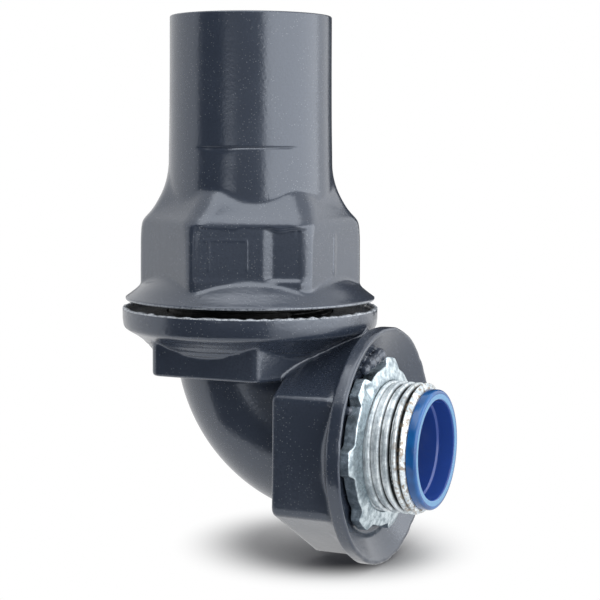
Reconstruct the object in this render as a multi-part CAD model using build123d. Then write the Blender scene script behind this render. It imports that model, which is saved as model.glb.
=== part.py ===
"""Liquidtight elbow connector, 3/4 in trade size: a plastic-coated 90 degree fitting for flexible conduit.

Millimetres. +X points out of the threaded hub and +Z up the gland. The origin is on the hub's axis,
in the plane of the flange's sealing lip, so the gland's axis stands at x = -LIP_REACH.
The parts are modelled about the point where the two axes cross, and are moved there as they are written.
"""

from build123d import *
import math
import os

COAT = 1.0  # thickness of the plastic coat over the iron and steel
LIP_REACH = 31.2  # from the gland's axis to the hub flange's sealing lip

HEX_FLATS = 40.4  # both hexagons of the elbow and that of the gland nut, over the coat
HEX_EDGE = 1.2  # rounding along the elbow's hexagon edges
NUT_EDGE = 4.0  # softer rounding along the gland nut's edges
NUT_TURN = -65.0  # direction of one flat of the gland nut, degrees from +X

BEND_RADIUS = 20.5  # centre line of the bend, which ends on both axes
BEND_OUTSIDE = 15.5  # radius of the bend's tube, over the coat
BORE = 10.45  # radius of the wireway, as in 3/4 in conduit

COLLAR_BOTTOM = 13.8  # underside of the upper hexagon
CONE_FOOT = (20.2, 17.9)  # radius and height where the cone leaves the flats
CONE_MIDDLE = (22.5, 20.4)
CONE_TOP = (25.5, 22.3)
RIM_BOTTOM = (26.3, 23.1)
RIM_MIDDLE = (26.6, 24.6)
RIM_TOP = (26.5, 26.8)
RIM_LIP = 1.1  # width of the rim's raised lip
RIM_RECESS = 0.8  # the face inside the lip lies this much lower

NECK_RADIUS = 17.0  # male thread of the gland, over its crests
NECK_TOP = 43.0
SOCKET_RADIUS = 13.8  # takes conduit of 26.7 mm over its cover
SOCKET_FLOOR = 22.5
SEAT_RADIUS = 16.2  # mouth of the 45 degree seat for the sealing ring

HUB_HEX_BACK = 14.9
HUB_FILLET = 3.8  # concave run from the hub's flats to the flange
FLANGE_RADIUS = 24.0
FLANGE_BACK = 28.3
LIP_RADIUS = 23.3  # inner edge of the sealing lip
DISH_FOOT = (28.6, 18.6)  # x and radius where the dished face ends
DISH_FLOOR = (28.0, 18.0)
HUB_RADIUS = 13.2  # hub thread over its crests, 3/4 in straight pipe thread
HUB_END = 39.9
HUB_CHAMFER = 0.9

THROAT_SEAT = 30.0  # x where the hub's counterbore for the throat ends
THROAT_OUTSIDE = 11.0
THROAT_LIP_RADIUS = 12.05
THROAT_LIP = 2.0
THROAT_BORE = 10.0
THROAT_STEP = 9.6  # bore behind the step
THROAT_STEP_X = 38.5

LOCKNUT_BACK = 28.6
LOCKNUT_THICKNESS = 2.5
LOCKNUT_BODY = 16.2  # radius between the lugs
LOCKNUT_TIP = 17.9  # radius over the lugs
LOCKNUT_LUGS = 7
LOCKNUT_LUG_WIDTH = 6.2
LOCKNUT_PHASE = 80.0  # direction of one lug, degrees from +Y towards +Z
LOCKNUT_CROWN = 0.5  # rise of the front face from its edge to the thread

RUNNING = 0.06  # radial clearance of a plain bore on its plain crest cylinder

NUT_BOTTOM = 29.2  # steel of the gland nut
NUT_HEX_TOP = 42.2
NUT_SHOULDER = (18.2, 45.6)
NUT_TOP = (15.9, 50.6)
NUT_MOUTH = 14.1
NUT_WALL = 0.4  # the coat's hollow ends this far inside the steel, which fills it there
NUT_CONE = 63.42  # radius plus height, constant along the nut's inner 45 degree shoulder

SKIRT_BOTTOM = 28.4
SKIRT_RADIUS = 25.9
SKIRT_LIP = 2.2
SKIRT_EDGE = 0.6  # height of the skirt's rim
SKIRT_MIDDLE = (22.7, 31.1)
SKIRT_TOP = (20.0, 34.2)
SHOULDER_BOTTOM = 44.4
SHOULDER_TOP = 53.4
SLEEVE_FOOT = 17.0
SLEEVE_MIDDLE = (16.75, 60.0)
SLEEVE_RADIUS = 16.6
SLEEVE_TOP = 86.5
SLEEVE_BORE = 13.9
SLEEVE_ROUND = 0.9

RING_INSIDE = 13.6
RING_OUTSIDE = 16.6
RING_LOWER = 28.3  # height minus radius along the ring's lower bevel
RING_UPPER = 63.0  # height plus radius along its upper bevel

FERRULE_SKIRT = 13.7
FERRULE_SKIRT_TOP = 29.0
FERRULE_WALL = 0.8
FERRULE_FLOOR = 1.4
FERRULE_BARREL = 10.45
FERRULE_BORE = 9.7
FERRULE_TOP = 40.0
FERRULE_TAPER = 0.4


def turned_z(*points):
    """Turns an outline of (radius, height) points about the gland's axis."""
    outline = make_face(Polyline(*[(r, 0, z) for r, z in points], close=True))
    return revolve(outline, Axis.Z)


def turned_x(*points):
    """Turns an outline of (x, radius) points about the hub's axis."""
    outline = make_face(Polyline(*[(x, r, 0) for x, r in points], close=True))
    return revolve(outline, Axis.X)


def hex_z(flats, bottom, top, edge, turn=0.0):
    """Upright hexagon with a flat facing -Y, or turned so that one flat faces the given direction."""
    outline = RegularPolygon(flats / 2, 6, major_radius=False, rotation=turn)
    if edge:
        outline = fillet(outline.vertices(), edge)
    return Pos(0, 0, bottom) * extrude(outline, top - bottom)


def hex_x(flats, back, front, edge):
    """Hexagon along the hub, with a flat facing -Y and corners above and below."""
    outline = Plane.YZ * RegularPolygon(flats / 2, 6, major_radius=False, rotation=30)
    if edge:
        outline = fillet(outline.vertices(), edge)
    return Pos(back, 0, 0) * extrude(outline, front - back, dir=(1, 0, 0))


def bend(radius, top, front):
    """Tube from the gland's axis round to the hub's, with straight runs up to top and out to front."""
    start = Pos(0, 0, BEND_RADIUS) * Circle(radius)
    centre = Axis((BEND_RADIUS, 0, BEND_RADIUS), (0, -1, 0))
    corner = revolve(start, centre, 90)
    upright = Pos(0, 0, BEND_RADIUS) * extrude(Circle(radius), top - BEND_RADIUS)
    level = Pos(BEND_RADIUS, 0, 0) * extrude(Plane.YZ * Circle(radius), front - BEND_RADIUS, dir=(1, 0, 0))
    return corner + upright + level


def elbow_casting():
    """Malleable iron elbow: gland neck, two hexagons and flanges, bend, threaded hub and the wireway."""
    flats = HEX_FLATS - 2 * COAT
    stop_top = RIM_TOP[1] - RIM_RECESS - COAT
    collar = hex_z(flats, COLLAR_BOTTOM + COAT, stop_top, HEX_EDGE)
    neck = turned_z(
        (0, stop_top),
        (NECK_RADIUS, stop_top),
        (NECK_RADIUS, NECK_TOP - 0.6),
        (NECK_RADIUS - 0.6, NECK_TOP),
        (0, NECK_TOP),
    )
    hub_hex = hex_x(flats, HUB_HEX_BACK + COAT, DISH_FLOOR[0] - COAT, HEX_EDGE)
    hub = turned_x(
        (DISH_FLOOR[0] - COAT, 0),
        (DISH_FLOOR[0] - COAT, HUB_RADIUS),
        (HUB_END - HUB_CHAMFER, HUB_RADIUS),
        (HUB_END, HUB_RADIUS - HUB_CHAMFER),
        (HUB_END, 0),
    )
    body = bend(BEND_OUTSIDE - COAT, stop_top, DISH_FLOOR[0] - COAT) + collar + neck + hub_hex + hub
    body += rim(COAT)
    body += hub_flange(COAT)
    socket = turned_z(
        (0, SOCKET_FLOOR),
        (SOCKET_RADIUS, SOCKET_FLOOR),
        (SOCKET_RADIUS, NECK_TOP - SEAT_RADIUS + SOCKET_RADIUS),
        (SEAT_RADIUS, NECK_TOP),
        (0, NECK_TOP + 1),
    )
    throat_seat = turned_x(
        (THROAT_SEAT, 0),
        (THROAT_SEAT, THROAT_OUTSIDE),
        (HUB_END + 1, THROAT_OUTSIDE),
        (HUB_END + 1, 0),
    )
    return body - bend(BORE, SOCKET_FLOOR + 1, THROAT_SEAT + 1) - socket - throat_seat


def rim(inset=0.0):
    """Cone and rim of the elbow's upper flange; the iron's lie inset under the coat and end flat."""
    drop = inset / math.sqrt(2)
    cone = [(r - drop, 0, z + drop) for r, z in (CONE_FOOT, CONE_MIDDLE, CONE_TOP)]
    side = RIM_MIDDLE[0] - inset
    recess = RIM_TOP[1] - RIM_RECESS - inset
    lip = RIM_TOP[0] - RIM_LIP
    points = [(cone[2][0], cone[2][2]), (RIM_BOTTOM[0] - inset, RIM_BOTTOM[1] + inset), (side, RIM_MIDDLE[1])]
    if inset:
        points += [(side, recess)]
    else:
        points += [RIM_TOP, (lip, RIM_TOP[1]), (lip - 0.4, recess)]
    points += [(0, recess), (0, cone[0][2]), (cone[0][0], cone[0][2])]
    return revolve(make_face([ThreePointArc(*cone), Polyline(*[(r, 0, z) for r, z in points])]), Axis.Z)


def hub_flange(inset=0.0):
    """Round flange of the hub: concave run up from the flats, rim, and a front that the dish is cut from."""
    back = FLANGE_BACK + inset
    side = FLANGE_RADIUS - inset
    start = (FLANGE_BACK - HUB_FILLET, FLANGE_RADIUS - HUB_FILLET - inset)
    run = RadiusArc((*start, 0), (back, side, 0), HUB_FILLET + inset)
    points = [(back, side), (LIP_REACH - inset, side), (LIP_REACH - inset, LIP_RADIUS - inset)]
    points += [(DISH_FOOT[0] - inset, DISH_FOOT[1]), (DISH_FLOOR[0] - inset, DISH_FLOOR[1])]
    points += [(DISH_FLOOR[0] - inset, 0), (start[0], 0), start]
    return revolve(make_face([run, Polyline(*[(x, r, 0) for x, r in points])]), Axis.X)


def elbow_jacket(casting):
    """Plastic coat over the elbow, bonded to the iron, with the rim and the sealing flange moulded on it."""
    collar = hex_z(HEX_FLATS, COLLAR_BOTTOM, RIM_BOTTOM[1], HEX_EDGE)
    collar = fillet(collar.faces().sort_by(Axis.Z)[0].edges(), HEX_EDGE * 0.6)
    hub_hex = hex_x(HEX_FLATS, HUB_HEX_BACK, DISH_FLOOR[0], HEX_EDGE)
    hub_hex = fillet(hub_hex.faces().sort_by(Axis.X)[0].edges(), HEX_EDGE * 0.7)
    outer = bend(BEND_OUTSIDE, RIM_BOTTOM[1], DISH_FLOOR[0]) + collar + rim() + hub_hex
    outer += hub_flange()
    outer -= turned_x(
        (DISH_FLOOR[0], 0), DISH_FLOOR, DISH_FOOT, (LIP_REACH, LIP_RADIUS), (LIP_REACH, FLANGE_RADIUS),
        (LIP_REACH + 5, FLANGE_RADIUS + 5), (LIP_REACH + 5, 0),
    )
    inside = bend(BORE, RIM_TOP[1] + 1, DISH_FLOOR[0] + 1) + turned_z(
        (0, SOCKET_FLOOR), (SOCKET_RADIUS, SOCKET_FLOOR), (SOCKET_RADIUS, RIM_TOP[1] + 1), (0, RIM_TOP[1] + 1)
    )
    return outer - casting - inside


def insulated_throat():
    """Blue plastic liner pushed into the hub: a stepped tube with a round-edged lip over the hub's end."""
    liner = turned_x(
        (THROAT_SEAT, THROAT_STEP),
        (THROAT_SEAT, THROAT_OUTSIDE),
        (HUB_END, THROAT_OUTSIDE),
        (HUB_END, THROAT_LIP_RADIUS),
        (HUB_END + THROAT_LIP, THROAT_LIP_RADIUS),
        (HUB_END + THROAT_LIP, THROAT_BORE),
        (THROAT_STEP_X, THROAT_BORE),
        (THROAT_STEP_X - 0.4, THROAT_STEP),
    )
    front = liner.edges().filter_by(GeomType.CIRCLE).group_by(Axis.X)[-1]
    return fillet(front, (THROAT_LIP_RADIUS - THROAT_BORE) * 0.42)


def grounding_ferrule():
    """Steel ferrule on the socket's floor: a skirt round the conduit's end and a barrel inside it."""
    skirt_inside = FERRULE_SKIRT - FERRULE_WALL
    floor_top = SOCKET_FLOOR + FERRULE_FLOOR
    return turned_z(
        (FERRULE_BORE, SOCKET_FLOOR),
        (FERRULE_SKIRT, SOCKET_FLOOR),
        (FERRULE_SKIRT, FERRULE_SKIRT_TOP),
        (skirt_inside, FERRULE_SKIRT_TOP),
        (skirt_inside, floor_top),
        (FERRULE_BARREL, floor_top),
        (FERRULE_BARREL, FERRULE_TOP - 4.0),
        (FERRULE_BARREL - FERRULE_TAPER, FERRULE_TOP),
        (FERRULE_BORE, FERRULE_TOP),
    )


def sealing_ring():
    """Double-bevelled plastic ring between the neck's seat and the nut's shoulder."""
    return turned_z(
        (RING_INSIDE, RING_LOWER + RING_INSIDE),
        (RING_OUTSIDE, RING_LOWER + RING_OUTSIDE),
        (RING_OUTSIDE, RING_UPPER - RING_OUTSIDE),
        (RING_INSIDE, RING_UPPER - RING_INSIDE),
    )


def gland_nut():
    """Steel compression nut: threaded bore, 45 degree inner shoulder, hexagon and domed top."""
    bore = NECK_RADIUS + RUNNING
    across_corners = (HEX_FLATS - 2 * COAT) / math.sqrt(3)
    body = hex_z(HEX_FLATS - 2 * COAT, NUT_BOTTOM, NUT_TOP[1], HEX_EDGE, NUT_TURN + 30)
    body &= turned_z(
        (0, NUT_BOTTOM),
        (across_corners, NUT_BOTTOM),
        (across_corners, NUT_HEX_TOP),
        NUT_SHOULDER,
        NUT_TOP,
        (0, NUT_TOP[1]),
    )
    return body - turned_z(
        (0, NUT_BOTTOM - 1),
        (bore + 0.8, NUT_BOTTOM - 1),
        (bore + 0.8, NUT_BOTTOM),
        (bore, NUT_BOTTOM + 0.8),
        (bore, NUT_CONE - bore),
        (NUT_MOUTH, NUT_CONE - NUT_MOUTH),
        (NUT_MOUTH, NUT_TOP[1] + 1),
        (0, NUT_TOP[1] + 1),
    )


def nut_section(flats, edge, height):
    """Rounded hexagon of the gland nut's coat at one height."""
    outline = RegularPolygon(flats / 2, 6, major_radius=False, rotation=NUT_TURN + 30)
    return Pos(0, 0, height) * fillet(outline.vertices(), edge)


def gland_nut_jacket(core):
    """Plastic coat of the gland nut: flared skirt, soft hexagon, shoulder and long sleeve."""
    hexagon = hex_z(HEX_FLATS, NUT_BOTTOM, SHOULDER_BOTTOM, NUT_EDGE, NUT_TURN + 30)
    almost_round = SLEEVE_FOOT * 0.97
    middle = (HEX_FLATS + 2 * SLEEVE_FOOT) / 2 - 1.2
    shoulder = loft([
        nut_section(HEX_FLATS, NUT_EDGE, SHOULDER_BOTTOM),
        nut_section(middle, (NUT_EDGE + almost_round) / 2, (SHOULDER_BOTTOM + SHOULDER_TOP) / 2),
        nut_section(2 * SLEEVE_FOOT, almost_round, SHOULDER_TOP),
    ])
    edge = SKIRT_BOTTOM + SKIRT_EDGE
    inside = SKIRT_RADIUS - SKIRT_LIP
    flare = ThreePointArc(
        (SKIRT_TOP[0], 0, SKIRT_TOP[1]), (SKIRT_MIDDLE[0], 0, SKIRT_MIDDLE[1]), (SKIRT_RADIUS, 0, edge)
    )
    skirt_points = [
        (SKIRT_RADIUS, edge), (SKIRT_RADIUS, SKIRT_BOTTOM), (inside, SKIRT_BOTTOM),
        (inside - 0.8, NUT_BOTTOM), (0, NUT_BOTTOM), (0, SKIRT_TOP[1]), SKIRT_TOP,
    ]
    skirt = revolve(make_face([flare, Polyline(*[(r, 0, z) for r, z in skirt_points])]), Axis.Z)
    sleeve = turned_z(
        (0, SHOULDER_TOP), (SLEEVE_FOOT, SHOULDER_TOP), SLEEVE_MIDDLE,
        (SLEEVE_RADIUS, SLEEVE_TOP), (0, SLEEVE_TOP),
    )
    sleeve = fillet(sleeve.edges().group_by(Axis.Z)[-1], SLEEVE_ROUND)
    outer = hexagon + shoulder + skirt + sleeve
    neck = NECK_RADIUS + NUT_WALL
    mouth = NUT_MOUTH + NUT_WALL
    hollow = turned_z(
        (0, NUT_BOTTOM - 2), (NECK_RADIUS + 2, NUT_BOTTOM - 2), (NECK_RADIUS + 2, NUT_BOTTOM),
        (neck, NUT_BOTTOM + 2), (neck, NUT_CONE - neck), (mouth, NUT_CONE - mouth + NUT_WALL),
        (mouth, NUT_TOP[1]), (SLEEVE_BORE, NUT_TOP[1]), (SLEEVE_BORE, SLEEVE_TOP + 1), (0, SLEEVE_TOP + 1),
    )
    recess = turned_z(
        (0, SKIRT_BOTTOM - 1), (inside, SKIRT_BOTTOM - 1), (inside, SKIRT_BOTTOM), (inside - 0.8, NUT_BOTTOM),
        (0, NUT_BOTTOM),
    )
    return outer - core - hollow - recess


def locknut():
    """Stamped steel locknut with lugs round a crowned ring."""
    front = LOCKNUT_BACK + LOCKNUT_THICKNESS
    ring = turned_x(
        (LOCKNUT_BACK, 0), (LOCKNUT_BACK, LOCKNUT_BODY), (front, LOCKNUT_BODY),
        (front + LOCKNUT_CROWN, HUB_RADIUS + 0.8), (front + LOCKNUT_CROWN, 0),
    )
    reach = LOCKNUT_TIP - HUB_RADIUS
    blank = Plane.YZ * Pos(HUB_RADIUS + reach / 2, 0) * Rectangle(reach, LOCKNUT_LUG_WIDTH)
    lug = Pos(LOCKNUT_BACK, 0, 0) * extrude(blank, LOCKNUT_THICKNESS, dir=(1, 0, 0))
    lug = fillet(lug.edges().filter_by(Axis.X).group_by(Axis.Y)[-1], 1.4)
    for number in range(LOCKNUT_LUGS):
        ring += Rot(LOCKNUT_PHASE + number * 360 / LOCKNUT_LUGS, 0, 0) * lug
    bore = HUB_RADIUS + RUNNING
    return ring - turned_x((0, 0), (0, bore), (LIP_REACH + 5, bore), (LIP_REACH + 5, 0))


def main():
    os.makedirs("parts", exist_ok=True)
    casting = elbow_casting()
    core = gland_nut()
    parts = {
        "elbow_casting": casting,
        "elbow_jacket": elbow_jacket(casting),
        "insulated_throat": insulated_throat(),
        "grounding_ferrule": grounding_ferrule(),
        "sealing_ring": sealing_ring(),
        "gland_nut": core,
        "gland_nut_jacket": gland_nut_jacket(core),
        "locknut": locknut(),
    }
    for name, part in parts.items():
        export_step(Pos(-LIP_REACH, 0, 0) * part, f"parts/{name}.step")


main()
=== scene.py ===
import math

import bpy
import numpy as np
from mathutils import Matrix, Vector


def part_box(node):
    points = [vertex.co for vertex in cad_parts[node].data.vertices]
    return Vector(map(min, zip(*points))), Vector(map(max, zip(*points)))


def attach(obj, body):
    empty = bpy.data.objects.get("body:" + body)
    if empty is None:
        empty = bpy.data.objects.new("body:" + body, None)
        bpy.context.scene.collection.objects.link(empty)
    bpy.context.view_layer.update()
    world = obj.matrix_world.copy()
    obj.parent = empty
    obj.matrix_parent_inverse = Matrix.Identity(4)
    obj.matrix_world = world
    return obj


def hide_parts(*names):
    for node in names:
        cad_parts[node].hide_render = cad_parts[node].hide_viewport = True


# A 3/4 in liquidtight elbow connector. Sizes are in millimetres about the point where the
# gland's axis (Z) and the hub's axis (X) cross, and makePiece carries them into the frame.
# The materials read metres. Angles in the tables are degrees.

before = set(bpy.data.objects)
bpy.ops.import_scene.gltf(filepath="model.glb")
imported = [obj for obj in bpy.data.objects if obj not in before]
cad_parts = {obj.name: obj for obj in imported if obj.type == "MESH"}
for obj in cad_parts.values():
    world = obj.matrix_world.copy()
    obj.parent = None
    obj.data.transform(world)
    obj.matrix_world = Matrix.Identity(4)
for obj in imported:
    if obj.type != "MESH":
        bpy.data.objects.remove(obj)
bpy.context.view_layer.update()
print("frame loaded")

nutLow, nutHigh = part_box("gland_nut_jacket")
crossing = np.array([(nutLow.x + nutHigh.x) / 2, 0.0, 0.0])  # metres, where the two axes cross

plainWhite = (1.0, 1.0, 1.0, 1.0)


# Arrays and meshes

def waves(angle, seed, count=6, lowest=3, highest=40):
    # Sum of sines round a circle, whole numbers of waves with fixed random phases, about -1 to 1.
    chance = np.random.default_rng(seed)
    total = np.zeros_like(angle)
    for number in chance.integers(lowest, highest, count):
        total += np.sin(number * angle + chance.uniform(0, 2 * math.pi)) / math.sqrt(count)
    return total


def smoothStep(value):
    # The value limited to 0 to 1 and eased at both ends: v * v * (3 - 2 * v).
    limited = np.clip(value, 0.0, 1.0)
    return limited * limited * (3 - 2 * limited)


def between(value, first, last, firstSoft, lastSoft):
    # 1 inside a range and 0 outside it, eased over a length inside each end.
    return smoothStep((value - first) / firstSoft) * smoothStep((last - value) / lastSoft)


def wrapped(value, period):
    # The value less whole periods, from minus half a period to plus half.
    return np.mod(value + period / 2, period) - period / 2


def smoothMin(first, second, blend):
    # Smaller of two distances, with the corner between them filled over the blend length.
    share = np.clip(0.5 + 0.5 * (second - first) / blend, 0.0, 1.0)
    return second + (first - second) * share - blend * share * (1 - share)


def smoothMax(first, second, blend):
    # Larger of two distances, with the edge between them rounded over the blend length.
    return -smoothMin(-first, -second, blend)


def roundedLoop(corners, spacing=0.45, steps=7):
    # Closed outline from (u, v, radius) corners: an arc in each corner, straight runs cut to the
    # spacing. A corner without a radius, or almost straight, stays as it is.
    nearlyStraight = 1.55
    points = []
    count = len(corners)
    for number, (u, v, radius) in enumerate(corners):
        here = np.array([u, v], float)
        before = np.array(corners[number - 1][:2], float) - here
        after = np.array(corners[(number + 1) % count][:2], float) - here
        before /= np.linalg.norm(before)
        after /= np.linalg.norm(after)
        half = math.acos(np.clip(before @ after, -1, 1)) / 2
        if radius <= 0 or half > nearlyStraight:
            points.append(here)
            continue
        centre = here + (before + after) / np.linalg.norm(before + after) * radius / math.sin(half)
        start = here + before * radius / math.tan(half) - centre
        end = here + after * radius / math.tan(half) - centre
        turn = math.atan2(start[0] * end[1] - start[1] * end[0], start @ end)
        angles = np.linspace(0, turn, steps)[:, None]
        points.extend(centre + start * np.cos(angles) + np.array([-start[1], start[0]]) * np.sin(angles))
    dense = []
    for number, here in enumerate(points):
        there = points[(number + 1) % len(points)]
        parts = max(1, math.ceil(np.linalg.norm(there - here) / spacing))
        dense.append(here + (there - here) * np.linspace(0, 1, parts, endpoint=False)[:, None])
    return np.concatenate(dense)


def ringQuads(rows, columns):
    # Quads of a grid that closes on itself both ways.
    row, column = np.meshgrid(np.arange(rows), np.arange(columns), indexing="ij")
    nextRow, nextColumn = (row + 1) % rows, (column + 1) % columns
    corners = [row * columns + column, nextRow * columns + column,
               nextRow * columns + nextColumn, row * columns + nextColumn]
    return np.stack(corners, axis=-1).reshape(-1, 4)


def aboutZ(radius, height, angle):
    # The angle runs from +X towards +Y.
    return np.stack(np.broadcast_arrays(radius * np.cos(angle), radius * np.sin(angle), height), axis=-1)


def aboutX(radius, along, angle):
    # The angle runs from +Y towards +Z.
    return np.stack(np.broadcast_arrays(along, radius * np.cos(angle), radius * np.sin(angle)), axis=-1)


def circleAngles(count):
    return np.linspace(0, 2 * math.pi, count, endpoint=False)


def turned(outline, count, place):
    # Outline of (radius, along) points carried round an axis.
    angle = circleAngles(count)[:, None]
    points = place(outline[None, :, 0], outline[None, :, 1], angle)
    return points.reshape(-1, 3), ringQuads(count, len(outline))


def joined(*parts):
    # Closed shapes in one list of points and one of quads, each facing outwards.
    points, quads, start = [], [], 0
    for partPoints, partQuads in parts:
        points.append(partPoints)
        quads.append(outwards(partPoints, partQuads) + start)
        start += len(partPoints)
    return np.concatenate(points), np.concatenate(quads)


def outwards(points, quads):
    # Turns the faces round if the volume they enclose comes out negative.
    first, second, third, fourth = (points[quads[:, number]] for number in range(4))
    volume = (first * (np.cross(second, third) + np.cross(third, fourth))).sum()
    return quads[:, ::-1] if volume < 0 else quads


def addObject(name, data):
    thing = bpy.data.objects.new(name, data)
    bpy.context.scene.collection.objects.link(thing)
    return thing


def placePiece(name, mesh, material, body, nodes):
    mesh.materials.append(material)
    piece = addObject(name, mesh)
    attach(piece, body)
    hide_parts(*nodes)
    print(name, len(mesh.polygons), "faces")


def makePiece(name, shape, material, body, nodes):
    points, quads = joined(shape)
    mesh = bpy.data.meshes.new(name)
    mesh.from_pydata(points * 0.001 + crossing, [], quads)
    mesh.polygons.foreach_set("use_smooth", np.ones(len(mesh.polygons), bool))
    mesh.update()
    placePiece(name, mesh, material, body, nodes)


# Materials

def newGroup(name, inputs, outputs):
    # Node group with a vector and some numbers going in, and numbers coming out.
    group = bpy.data.node_groups.new(name, "ShaderNodeTree")
    group.interface.new_socket("Vector", in_out="INPUT", socket_type="NodeSocketVector")
    for label, value in inputs.items():
        socket = group.interface.new_socket(label, in_out="INPUT", socket_type="NodeSocketFloat")
        socket.default_value = value
    for label in outputs:
        group.interface.new_socket(label, in_out="OUTPUT", socket_type="NodeSocketFloat")
    return group, group.nodes.new("NodeGroupInput").outputs, group.nodes.new("NodeGroupOutput").inputs


def setInputs(tree, node, inputs):
    # An input is linked if given a socket, and set if given a value.
    for name, value in inputs.items():
        if isinstance(value, bpy.types.NodeSocket):
            tree.links.new(value, node.inputs[name])
        else:
            node.inputs[name].default_value = value


def addNode(tree, kind, settings=None, inputs=None):
    node = tree.nodes.new(kind)
    for name, value in (settings or {}).items():
        setattr(node, name, value)
    setInputs(tree, node, inputs or {})
    return node


def mathNode(tree, operation, first, second):
    return addNode(tree, "ShaderNodeMath", {"operation": operation}, {0: first, 1: second}).outputs[0]


def vectorNode(tree, operation, *inputs):
    return addNode(tree, "ShaderNodeVectorMath", {"operation": operation}, dict(enumerate(inputs))).outputs


def noise(tree, vector, scale, detail, rough=0.5):
    inputs = {"Vector": vector, "Scale": scale, "Detail": detail, "Roughness": rough}
    return addNode(tree, "ShaderNodeTexNoise", None, inputs).outputs["Fac"]


def splitPlace(tree, place):
    return addNode(tree, "ShaderNodeSeparateXYZ", None, {0: place}).outputs


def mixShaders(tree, share, first, second):
    return addNode(tree, "ShaderNodeMixShader", None, {0: share, 1: first, 2: second}).outputs[0]


def makeSpecks():
    # Scattered specks: small cells kept where a coarse noise is high.
    group, given, wanted = newGroup(
        "specks", {"Scale": 1500.0, "Size": 0.2, "Patches": 150.0, "Threshold": 0.55}, ["Mask"])
    cells = addNode(group, "ShaderNodeTexVoronoi", None,
                    {"Vector": given["Vector"], "Scale": given["Scale"]})
    dots = mathNode(group, "LESS_THAN", cells.outputs["Distance"], given["Size"])
    patches = noise(group, given["Vector"], given["Patches"], 3.0)
    chosen = mathNode(group, "GREATER_THAN", patches, given["Threshold"])
    group.links.new(mathNode(group, "MULTIPLY", dots, chosen), wanted["Mask"])
    return group


def makeSkin():
    # Moulded skin: broad waviness with a fine peel on top, as one height.
    group, given, wanted = newGroup(
        "mouldedSkin", {"Broad": 90.0, "Fine": 1400.0, "Fine share": 0.2}, ["Height", "Tone"])
    broad = noise(group, given["Vector"], given["Broad"], 2.0)
    fine = noise(group, given["Vector"], given["Fine"], 2.0)
    part = mathNode(group, "MULTIPLY", fine, given["Fine share"])
    group.links.new(mathNode(group, "ADD", broad, part), wanted["Height"])
    group.links.new(broad, wanted["Tone"])
    return group


def placeGroup(tree, group, inputs):
    return addNode(tree, "ShaderNodeGroup", {"node_tree": group}, inputs).outputs


def startMaterial(name):
    material = bpy.data.materials.new(name)
    material.use_nodes = True
    tree = material.node_tree
    place = addNode(tree, "ShaderNodeTexCoord").outputs["Object"]
    return material, tree, tree.nodes["Principled BSDF"], place


def mixColours(tree, share, first, second):
    # The node has sockets for every type: 0, 6 and 7 take a mix of colours, and 2 gives it.
    node = addNode(tree, "ShaderNodeMix", {"data_type": "RGBA"}, {0: share, 6: first, 7: second})
    return node.outputs[2]


def addBump(tree, shader, height, looks):
    bump = addNode(tree, "ShaderNodeBump", None,
                   {"Height": height, "Strength": looks["bump"], "Distance": looks["bumpDeep"]})
    tree.links.new(bump.outputs["Normal"], shader.inputs["Normal"])


def ramp(tree, value, low, high, start=0.0, end=1.0):
    # Straight line from start at the low value to end at the high one, level outside.
    node = addNode(tree, "ShaderNodeMapRange", None,
                   {"Value": value, "From Min": low, "From Max": high, "To Min": start, "To Max": end})
    return node.outputs["Result"]


specks = makeSpecks()
mouldedSkin = makeSkin()

coatLooks = {
    "dark": (0.0235, 0.0310, 0.0480, 1.0),
    "light": (0.0320, 0.0415, 0.0620, 1.0),
    "dust": (0.26, 0.28, 0.30, 1.0),
    "dustShare": 0.3, "dustCells": {"Scale": 1700.0, "Size": 0.17, "Threshold": 0.46},
    "toneRange": (0.3, 0.7), "grain": 2600.0,
    "roughness": (0.18, 0.25),
    "specular": 0.95,
    "sheenTint": (0.85, 0.91, 1.0, 1.0),
    "bump": 0.11, "bumpDeep": 0.0008, "fine": 0.32,
    "edgeHighlight": (0.40, 0.43, 0.47, 1.0), "edgeHighlightGrain": (0.35, 0.55), "edgeHighlightLeast": 0.3,
    # painted highlight: the rim's lip and the skirt's lower edge are coloured pale between these heights
    "highlightEdges": [(0.02655, 0.02735, 0.85), (0.02842, 0.02885, 0.45)],  # lowest and highest z, share
}


def makeCoat():
    # Glossy coat: the tone follows broad waviness and a fine grain, with pale specks of dust, and
    # the edges of rim and skirt are painted pale between their heights as a highlight.
    looks = coatLooks
    material, tree, shader, place = startMaterial("greyCoat")
    skin = placeGroup(tree, mouldedSkin, {"Vector": place, "Fine share": looks["fine"]})
    dust = placeGroup(tree, specks, {"Vector": place, **looks["dustCells"]})
    grain = noise(tree, place, looks["grain"], 1.0)
    tone = mathNode(tree, "MULTIPLY", ramp(tree, skin["Tone"], *looks["toneRange"]),
                    ramp(tree, grain, *looks["toneRange"]))
    colour = mixColours(tree, tone, looks["dark"], looks["light"])
    share = mathNode(tree, "MULTIPLY", dust["Mask"], looks["dustShare"])
    colour = mixColours(tree, share, colour, looks["dust"])
    height = splitPlace(tree, place)["Z"]
    # painted highlight on the edges of rim and skirt
    for lowest, highest, glint in looks["highlightEdges"]:
        above = mathNode(tree, "GREATER_THAN", height, lowest)
        below = mathNode(tree, "LESS_THAN", height, highest)
        edge = mathNode(tree, "MULTIPLY", mathNode(tree, "MULTIPLY", above, below),
                        ramp(tree, grain, *looks["edgeHighlightGrain"], looks["edgeHighlightLeast"] * glint, glint))
        colour = mixColours(tree, edge, colour, looks["edgeHighlight"])
    rough = ramp(tree, skin["Tone"], *looks["toneRange"], *looks["roughness"])
    setInputs(tree, shader, {"Base Color": colour, "Roughness": rough,
                             "Specular IOR Level": looks["specular"], "Specular Tint": looks["sheenTint"]})
    addBump(tree, shader, skin["Height"], looks)
    return material


zincLooks = {
    "pale": (0.66, 0.75, 0.79, 1.0),
    "dull": (0.27, 0.33, 0.37, 1.0),
    "flecks": 700.0, "fleckRange": (0.4, 0.62), "glossRange": (0.35, 0.65),
    "roughness": (0.24, 0.5), "metal": 1.0, "bump": 0.35, "bumpDeep": 0.0003,
}

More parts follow.
